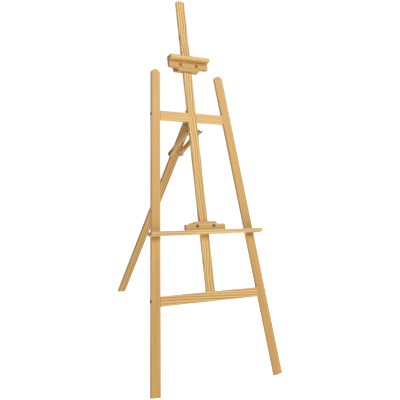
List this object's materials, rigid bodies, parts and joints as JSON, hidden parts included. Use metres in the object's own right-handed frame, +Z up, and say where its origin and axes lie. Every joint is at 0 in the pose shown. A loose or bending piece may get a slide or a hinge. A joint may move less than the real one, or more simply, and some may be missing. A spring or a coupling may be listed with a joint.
{
  "type": "wooden artist easel",
  "caption": "Folding wooden A-frame easel with a hinged back leg on slotted braces, a sliding canvas tray and a sliding top canvas holder on a central mast.",
  "frame": {"origin": "on the floor, at the middle of the box around the standing easel", "axes": "+Z up, +X across the easel, the canvas side faces -Y and the back leg stands towards +Y"},
  "size_m": [0.6198, 1.0638, 1.524],
  "materials": {
    "pine": "clear satin pine with strong growth bands",
    "pine_back": "clear satin pine, darker boards",
    "bronze_steel": "bronze-dark plated steel",
    "black_steel": "blackened steel"
  },
  "bodies": {
    "frame": {"left_leg": "pine", "right_leg": "pine", "upper_crossbar": "pine", "lower_crossbar": "pine", "mast": "pine", "hinge_block": "pine_back", "lower_left_bolt": "bronze_steel", "lower_left_barrel_nut": "black_steel", "lower_right_bolt": "bronze_steel", "lower_right_barrel_nut": "black_steel", "upper_left_bolt": "bronze_steel", "upper_left_barrel_nut": "black_steel", "upper_right_bolt": "bronze_steel", "upper_right_barrel_nut": "black_steel", "mast_foot_bolt": "bronze_steel", "mast_foot_barrel_nut": "black_steel", "hinge_block_screw_1": "bronze_steel", "hinge_block_screw_2": "bronze_steel", "hinge_block_leaf": "bronze_steel", "hinge_pin": "black_steel", "block_leaf_left_screw": "bronze_steel", "block_leaf_right_screw": "bronze_steel", "mast_brace_bolt": "bronze_steel"},
    "back_leg": {"back_leg": "pine_back", "hinge_leg_leaf": "bronze_steel", "leg_leaf_left_screw": "bronze_steel", "leg_leaf_right_screw": "bronze_steel", "leg_brace_bolt": "bronze_steel", "leg_brace_left_washer": "black_steel", "leg_brace_right_washer": "black_steel"},
    "braces": {"left_brace": "pine_back", "right_brace": "pine_back", "mast_brace_left_washer": "bronze_steel", "mast_brace_right_washer": "bronze_steel"},
    "tray": {"tray_board": "pine", "tray_front_plate": "pine", "tray_back_plate": "pine_back", "tray_left_screw": "bronze_steel", "tray_right_screw": "bronze_steel", "tray_left_bolt": "bronze_steel", "tray_right_bolt": "bronze_steel", "tray_left_washer": "black_steel", "tray_right_washer": "black_steel"},
    "holder": {"holder_lip": "pine", "holder_front_plate": "pine", "holder_back_plate": "pine_back", "holder_left_screw": "bronze_steel", "holder_right_screw": "bronze_steel", "holder_left_bolt": "bronze_steel", "holder_right_bolt": "bronze_steel", "holder_left_washer": "black_steel", "holder_right_washer": "black_steel"},
    "mast_brace_wing_nut": {"mast_brace_wing_nut": "black_steel"},
    "leg_brace_wing_nut": {"leg_brace_wing_nut": "black_steel"},
    "tray_left_wing_nut": {"tray_left_wing_nut": "black_steel"},
    "tray_right_wing_nut": {"tray_right_wing_nut": "black_steel"},
    "holder_left_wing_nut": {"holder_left_wing_nut": "black_steel"},
    "holder_right_wing_nut": {"holder_right_wing_nut": "black_steel"}
  },
  "joints": [
    {"name": "back_leg_fold", "type": "hinge", "parent": "frame", "child": "back_leg", "pos_m": [0, -0.03295, 1.01158], "axis": [-1, 0, 0], "range_deg": [0, 45]},
    {"name": "brace_fold", "type": "hinge", "parent": "frame", "child": "braces", "pos_m": [0, -0.07564, 0.96782], "axis": [-1, 0, 0], "range_deg": [0, 51]},
    {"name": "tray_height", "type": "slide", "parent": "frame", "child": "tray", "axis": [0, 0.4226, 0.9063], "range_m": [-0.25, 0.18]},
    {"name": "holder_height", "type": "slide", "parent": "frame", "child": "holder", "axis": [0, 0.4226, 0.9063], "range_m": [-0.165, 0.27]},
    {"name": "mast_brace_wing_nut_turn", "type": "hinge", "parent": "frame", "child": "mast_brace_wing_nut", "pos_m": [0.0323, -0.07564, 0.96782], "axis": [1, 0, 0], "continuous": true},
    {"name": "leg_brace_wing_nut_turn", "type": "hinge", "parent": "back_leg", "child": "leg_brace_wing_nut", "pos_m": [0.0323, 0.0688, 0.84494], "axis": [1, 0, 0], "continuous": true},
    {"name": "tray_left_wing_nut_turn", "type": "hinge", "parent": "tray", "child": "tray_left_wing_nut", "pos_m": [-0.04, -0.23177, 0.58261], "axis": [0, 0.9063, -0.4226], "continuous": true},
    {"name": "tray_right_wing_nut_turn", "type": "hinge", "parent": "tray", "child": "tray_right_wing_nut", "pos_m": [0.04, -0.23177, 0.58261], "axis": [0, 0.9063, -0.4226], "continuous": true},
    {"name": "holder_left_wing_nut_turn", "type": "hinge", "parent": "holder", "child": "holder_left_wing_nut", "pos_m": [-0.04, 0.06935, 1.22836], "axis": [0, 0.9063, -0.4226], "continuous": true},
    {"name": "holder_right_wing_nut_turn", "type": "hinge", "parent": "holder", "child": "holder_right_wing_nut", "pos_m": [0.04, 0.06935, 1.22836], "axis": [0, 0.9063, -0.4226], "continuous": true}
  ],
  "couplings": [
    {"joint": "brace_fold", "follows": "back_leg_fold", "ratio": 1.125}
  ]
}
